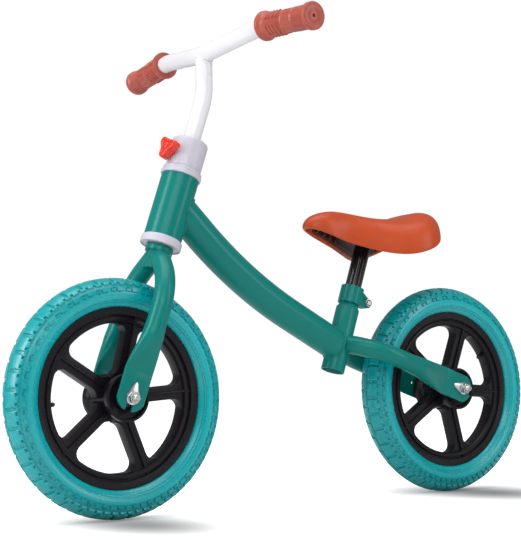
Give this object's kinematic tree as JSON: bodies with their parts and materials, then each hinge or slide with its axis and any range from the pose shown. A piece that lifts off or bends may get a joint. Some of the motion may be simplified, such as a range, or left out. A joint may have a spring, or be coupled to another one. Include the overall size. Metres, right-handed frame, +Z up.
{
  "type": "balance bike",
  "caption": "Child's balance bike with foam-tyred spoked wheels, one curved main tube, a clamped height-adjustable handlebar and a padded saddle on a post.",
  "frame": {"origin": "on the floor, in the bike's middle plane, halfway between the two wheel axles", "axes": "+X forward, +Y to the rider's left, +Z up"},
  "size_m": [0.825, 0.4182, 0.6121],
  "materials": {
    "frame_paint": "gloss",
    "bar_paint": "gloss",
    "post_paint": "gloss",
    "zinc": "satin",
    "chrome": "polished",
    "tyre": "satin",
    "rim": "satin",
    "black_plastic": "satin",
    "grey_plastic": "satin",
    "knob": "gloss",
    "grip": "satin",
    "saddle_shell": "matte",
    "saddle_skin": "satin"
  },
  "bodies": {
    "frame": {"head_tube": "frame_paint", "main_tube": "frame_paint", "seat_tube": "frame_paint", "left_chain_stay": "frame_paint", "right_chain_stay": "frame_paint", "upper_head_ring": "grey_plastic", "lower_head_ring": "grey_plastic", "seat_clamp_collar": "frame_paint", "seat_clamp_bolt": "zinc", "seat_clamp_nut": "chrome", "rear_axle": "zinc", "rear_axle_nuts": "zinc", "rear_tab_washers": "zinc", "rear_locknuts": "zinc"},
    "fork": {"steerer_tube": "zinc", "fork_crown": "frame_paint", "fork_bridge": "frame_paint", "left_fork_blade": "frame_paint", "right_fork_blade": "frame_paint", "steering_collar": "grey_plastic", "collar_insert": "zinc", "front_axle": "zinc", "front_axle_nuts": "zinc", "front_tab_washers": "zinc", "front_locknuts": "zinc"},
    "handlebar": {"handlebar_tube": "bar_paint", "handlebar_stem": "bar_paint", "left_grip": "grip", "right_grip": "grip"},
    "knob": {"clamp_knob": "knob", "clamp_knob_bolt": "zinc"},
    "front_wheel": {"front_tyre": "tyre", "front_rim": "rim", "front_valve_stem": "black_plastic", "front_hub_bearings": "zinc"},
    "rear_wheel": {"rear_tyre": "tyre", "rear_rim": "rim", "rear_valve_stem": "black_plastic", "rear_hub_bearings": "zinc"},
    "seat_post": {"seat_post": "post_paint"},
    "saddle": {"saddle_base": "saddle_shell", "saddle_cover": "saddle_skin"}
  },
  "joints": [
    {"name": "steering", "type": "hinge", "parent": "frame", "child": "fork", "pos_m": [0.18405, 0, 0.38066], "axis": [-0.3338, 0, 0.9426], "continuous": true},
    {"name": "front_wheel_spin", "type": "hinge", "parent": "fork", "child": "front_wheel", "pos_m": [0.2675, 0, 0.145], "axis": [0, 1, 0], "continuous": true},
    {"name": "rear_wheel_spin", "type": "hinge", "parent": "frame", "child": "rear_wheel", "pos_m": [-0.2675, 0, 0.145], "axis": [0, 1, 0], "continuous": true},
    {"name": "handlebar_height", "type": "slide", "parent": "fork", "child": "handlebar", "axis": [-0.3338, 0, 0.9426], "range_m": [-0.02, 0.04]},
    {"name": "clamp_knob_turn", "type": "hinge", "parent": "fork", "child": "knob", "pos_m": [0.16124, 0, 0.44506], "axis": [0.9283, 0.1736, 0.3287], "continuous": true},
    {"name": "seat_height", "type": "slide", "parent": "frame", "child": "seat_post", "axis": [-0.3289, 0, 0.9444], "range_m": [-0.02, 0.045]},
    {"name": "saddle_swivel", "type": "hinge", "parent": "seat_post", "child": "saddle", "pos_m": [-0.12798, 0, 0.35243], "axis": [-0.3289, 0, 0.9444], "continuous": true}
  ]
}
